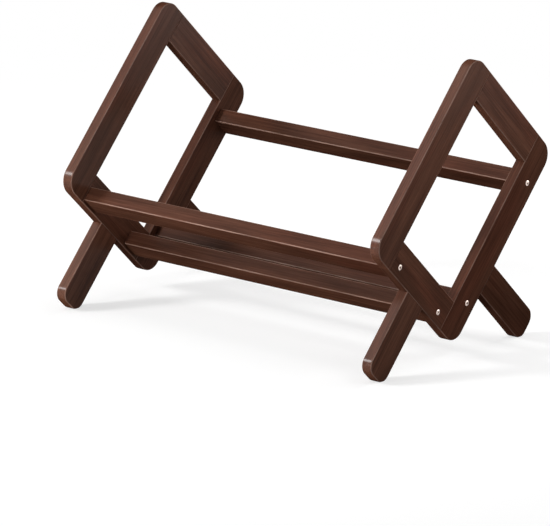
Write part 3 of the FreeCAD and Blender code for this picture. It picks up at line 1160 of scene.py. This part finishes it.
@dataclass
class Screws:
    """The four screws of one side, with domed heads that sit just inside their countersinks."""

    side: Side
    rails: Rails = field(default_factory=Rails)
    head: float = 0.0080
    dome: float = 0.0006
    dome_steps: int = 8
    round_steps: int = 48
    shank: float = 0.0040
    length: float = 0.0400
    tip: float = 0.0050
    recess_length: float = 0.0046
    recess_width: float = 0.0013
    recess_depth: float = 0.0020
    recess_taper: float = 0.45
    thread_start: float = 0.0145
    thread_pitch: float = 0.0018
    thread_core: float = 0.70
    thread_width: float = 0.70
    thread_steps: int = 6
    first_turn: float = 0.45
    turn_step: float = 1.1

    def _press_thread(self, blank: bmesh.types.BMesh) -> None:
        """Presses the thread into a blank below its plain shank, running in over the first turn.

        Args:
            blank: The screw without its thread.
        """
        for vert in blank.verts:
            below = -vert.co.z - self.thread_start
            if below > 0:
                turn = math.atan2(vert.co.y, vert.co.x) / math.tau
                phase = (below / self.thread_pitch + turn) % 1.0
                ridge = max(0.0, 1 - abs(2 * phase - 1) / self.thread_width)
                depth = (1 - self.thread_core) * min(1.0, below / self.thread_pitch)
                vert.co.xy *= 1 - depth * (1 - ridge)

    def _arm(self, turn: float) -> bpy.types.Mesh:
        """Makes the form of one of the recess's two slots, narrower towards its floor.

        Args:
            turn: Its angle about the screw's axis.

        Returns:
            The form's mesh.
        """
        arm = bmesh.new()
        size = Matrix.Diagonal((self.recess_length, self.recess_width, 2 * self.recess_depth, 1.0))
        bmesh.ops.create_cube(arm, size=1.0, matrix=Matrix.Rotation(turn, 4, "Z") @ size)
        for vert in arm.verts:
            vert.co.xy *= 1 + math.copysign(1 - self.recess_taper, vert.co.z)
        return joined([arm], "arm")

    def _one(self) -> bpy.types.Mesh:
        """Makes one screw down the Z axis, with its dome's top at the origin and a cross recess.

        Returns:
            The screw's mesh.
        """
        wide, narrow = self.head / 2, self.shank / 2
        rim = wide - self.dome
        ball = (rim ** 2 + self.dome ** 2) / (2 * self.dome)
        arcs = [step / self.dome_steps * math.asin(rim / ball) for step in range(self.dome_steps + 1)]
        dome = [(ball * math.sin(arc), ball * (math.cos(arc) - 1)) for arc in arcs]
        step = self.thread_pitch / self.thread_steps
        count = math.floor((self.length - self.thread_start) / step)
        drops = [self.thread_start + number * step for number in range(count)]
        shank = [(min(narrow, narrow * (self.length - drop) / self.tip), -drop) for drop in drops]
        profile = dome + [(narrow, narrow - wide)] + shank + [(0.0, -self.length)]
        blank = turned(profile, self.round_steps)
        self._press_thread(blank)
        screw = joined([blank], "screw")
        for turn in (0.0, math.pi / 2):
            screw = cut_away(screw, self._arm(turn), "screw")
        return screw

    @property
    def _floor_reach(self) -> float:
        """How far from the axis a point still counts as the recess's floor."""
        return self.shank / 3

    def _on_floor(self, place: Vector) -> bool:
        """Says whether a point of one screw lies on the floor of its recess."""
        return abs(place.z + self.recess_depth) < HAIR and place.xy.length < self._floor_reach

    def build(self, finish: bpy.types.Material) -> bpy.types.Object:
        """Builds and dresses the four screws.

        Args:
            finish: The steel's material.

        Returns:
            The piece.
        """
        size, sign = self.rails.sizes, self.side.value
        one, places = self._one(), []
        for number, (depth, rise, _) in enumerate(self.rails.places.values()):
            face = Vector((sign * size.length / 2, depth, rise))
            spin = Matrix.Rotation(self.first_turn + self.turn_step * number, 4, "Z")
            places.append(size.to_world @ aimed(face, Vector((sign, 0, 0))) @ spin)
        node = f"{self.side.label}_screws"
        mesh = repeated(one, places, node)
        # Marks the recess floor, which gets painted shade.
        mark(mesh, "recess", [float(self._on_floor(vert.co)) for vert in one.vertices] * len(places))
        bpy.data.meshes.remove(one)
        return finished(mesh, finish, node, Slot.SCREW_STEEL)


@dataclass
class Dowels:
    """The hidden dowels of one side frame: fluted pins with chamfered ends."""

    frame: SideFrame
    width: float = 0.0060
    length: float = 0.0240
    rail_length: float = 0.0200
    end_gap: float = 0.0005
    chamfer: float = 0.0008
    flutes: int = 16
    flute_steps: int = 4
    flute_depth: float = 0.0003
    grain_step: Triple = (0.31, 0.07, 0.05)

    def _pin(self, length: float) -> bpy.types.Mesh:
        """Makes one pin along Z, with its middle at the origin.

        Args:
            length: The pin's length.

        Returns:
            The pin's mesh.
        """
        half, wide = length / 2, self.width / 2
        narrow, shoulder = wide - self.chamfer, half - self.chamfer
        upper = [(0.0, half), (narrow, half), (wide, shoulder)]
        lower = [(radius, -height) for radius, height in reversed(upper)]
        pin = turned(upper + lower, self.flute_steps * self.flutes)
        for vert in pin.verts:
            if vert.co.xy.length > wide - HAIR:
                groove = (1 - math.cos(self.flutes * math.atan2(vert.co.y, vert.co.x))) / 2
                vert.co.xy *= 1 - groove * self.flute_depth / wide
        return joined([pin], "pin")

    def _group(self, node: str, holes: list[Hole], length: float,
               finish: bpy.types.Material) -> bpy.types.Object:
        """Builds and dresses one group of dowels.

        Args:
            node: The group's CAD node.
            holes: One of the two holes that each dowel sits in.
            length: The dowels' length.
            finish: The wood's material.

        Returns:
            The piece.
        """
        one, places, grain = self._pin(length), [], []
        for number, hole in enumerate(holes):
            middle = hole.mouth + hole.inward * (hole.depth - self.end_gap - length / 2)
            places.append(self.frame.sizes.to_world @ aimed(middle, hole.inward))
            tree = Vector(self.grain_step) * number
            grain += [vert.co.zxy + tree for vert in one.vertices]
        mesh = repeated(one, places, node)
        mark(mesh, "grain", grain)
        bpy.data.meshes.remove(one)
        return finished(mesh, finish, node, Slot.DOWEL_WOOD)

    def build(self, finish: bpy.types.Material) -> list[bpy.types.Object]:
        """Builds and dresses the frame's three groups of dowels.

        Args:
            finish: The wood's material.

        Returns:
            The pieces.
        """
        pieces = []
        for group, holes in self.frame.dowel_holes.items():
            length = self.rail_length if group == "rail_dowels" else self.length
            pieces.append(self._group(f"{self.frame.side.label}_{group}", holes, length, finish))
        return pieces


@dataclass(frozen=True)
class Lamp:
    """A soft lamp, by its direction from the rack, its distance and sizes in metres and its watts."""

    name: str
    way: Triple
    distance: float
    width: float
    power: float
    height: Optional[float] = None
    mirrored: bool = True

    def hang(self, target: Triple) -> None:
        """Hangs the lamp, which the lacquer and the steel show only if it is mirrored.

        Args:
            target: The place that it looks at.
        """
        data = bpy.data.lights.new(self.name, "AREA")
        data.shape = "RECTANGLE"
        data.size = self.width
        data.size_y = self.height or self.width
        data.energy = self.power
        lamp = bpy.data.objects.new(self.name, data)
        direction = Vector(self.way).normalized()
        lamp.location = Vector(target) + direction * self.distance
        lamp.rotation_euler = direction.to_track_quat("Z", "Y").to_euler()
        lamp.visible_camera = False
        lamp.visible_glossy = self.mirrored
        bpy.context.scene.collection.objects.link(lamp)


@dataclass
class Studio:
    """A white floor, soft lamps and a long lens at the photograph's angle."""

    floor_reach: float = 14.0
    floor_tone: float = 0.46
    floor_glow: float = 0.60
    sky: float = 0.22
    shadow_reach: Span = (0.55, 1.5)
    eye: Triple = (3.53734, -4.48415, 1.55146)
    right: Triple = (0.77791, 0.62796, 0.02304)
    down: Triple = (0.17498, -0.18125, -0.96775)
    lens: float = 315.5
    sensor: float = 36.0
    sight: float = 60.0
    target: Triple = (0.0, 0.0, 0.17)
    lamps: tuple[Lamp, ...] = (
        Lamp("key", (-0.59, -0.62, 0.51), 5.2, 1.1, 165.0),
        Lamp("canopy", (-0.59, -0.32, 0.74), 4.5, 4.2, 40.0),
        Lamp("low", (-0.22, -0.97, -0.12), 1.0, 0.20, 7.5, mirrored=False),
        Lamp("fill", (0.58, 0.00, 0.40), 0.70, 0.30, 0.75),
        Lamp("sheen", (0.60, 0.78, 0.04), 0.986, 0.9, 1.7, height=0.2),
        Lamp("back", (0.06, 0.88, 0.47), 3.0, 2.0, 50.0),
    )

    @staticmethod
    def _seen(graph: Graph) -> Sock:
        """Tells the rays that see the background from those that only carry light.

        Args:
            graph: The graph to add it to.

        Returns:
            1 for a ray that sees, and 0 for one that carries light.
        """
        names = ("Is Camera Ray", "Is Glossy Ray", "Is Transmission Ray")
        rays = [graph.add("ShaderNodeLightPath", {}, {}, name) for name in names]
        return rays[0].largest(rays[1]).largest(rays[2])

    def floor(self) -> bpy.types.Object:
        """Lays the floor, which is white to the eye and keeps the rack's shadow.

        Returns:
            The floor.
        """
        mesh = bmesh.new()
        bmesh.ops.create_grid(mesh, x_segments=1, y_segments=1, size=self.floor_reach)
        floor = bpy.data.objects.new("floor", joined([mesh], "floor"))
        bpy.context.scene.collection.objects.link(floor)
        material, graph = Graph.of_material("white_floor")
        paint = graph.add("ShaderNodeBsdfDiffuse", {}, {"Color": (*[self.floor_tone] * 3, 1.0)})
        seen = self._seen(graph)
        glow = graph.add("ShaderNodeEmission", {}, {"Strength": seen * self.floor_glow})
        near = graph.add("ShaderNodeAddShader", {}, {0: paint, 1: glow})
        bounce = 1.0 - self.floor_glow
        far = graph.add("ShaderNodeEmission", {}, {"Strength": seen * self.floor_glow + bounce})
        away = graph.range(graph.reach(graph.place()), *self.shadow_reach)
        graph.close(graph.add("ShaderNodeMixShader", {}, {0: away, 1: near, 2: far}))
        floor.data.materials.append(material)
        return floor

    def world(self) -> None:
        """Fills the room with even light, white where it is seen."""
        world = bpy.data.worlds.new("studio")
        world.use_nodes = True
        bpy.context.scene.world = world
        graph = Graph(world.node_tree)
        strength = self._seen(graph) * (1.0 - self.sky) + self.sky
        light = graph.add("ShaderNodeBackground", {}, {"Color": (1, 1, 1, 1), "Strength": strength})
        graph.close(light, "ShaderNodeOutputWorld")

    def camera(self) -> None:
        """Sets the camera where the photograph was taken from."""
        data = bpy.data.cameras.new("camera")
        data.sensor_fit = "HORIZONTAL"
        data.sensor_width = self.sensor
        data.lens = self.lens
        data.clip_end = self.sight
        camera = bpy.data.objects.new("camera", data)
        right, up = Vector(self.right).normalized(), -Vector(self.down).normalized()
        turn = Matrix((right, up, right.cross(up))).transposed().to_4x4()
        camera.matrix_world = Matrix.Translation(self.eye) @ turn
        bpy.context.scene.collection.objects.link(camera)
        bpy.context.scene.camera = camera

    def build(self) -> None:
        """Sets up the whole studio."""
        self.floor()
        self.world()
        for lamp in self.lamps:
            lamp.hang(self.target)
        self.camera()
        bpy.context.scene.view_settings.view_transform = "Standard"
        LOG.info("studio: floor, sky, lamps and camera")


def main() -> None:
    """Builds the rack's pieces in order, sets up the studio and notes the sizes."""
    logging.basicConfig(level=logging.INFO, format="%(name)s: %(message)s")
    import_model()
    walnut, beech, steel = (finish.material() for finish in (WalnutStain(), DowelBeech(), ScrewSteel()))
    rails = Rails()
    rails.build(walnut)
    for side in Side:
        frame = SideFrame(side)
        frame.build(walnut)
        Dowels(frame).build(beech)
        Screws(side, rails).build(steel)
    Studio().build()


if __name__ == "__main__":
    main()
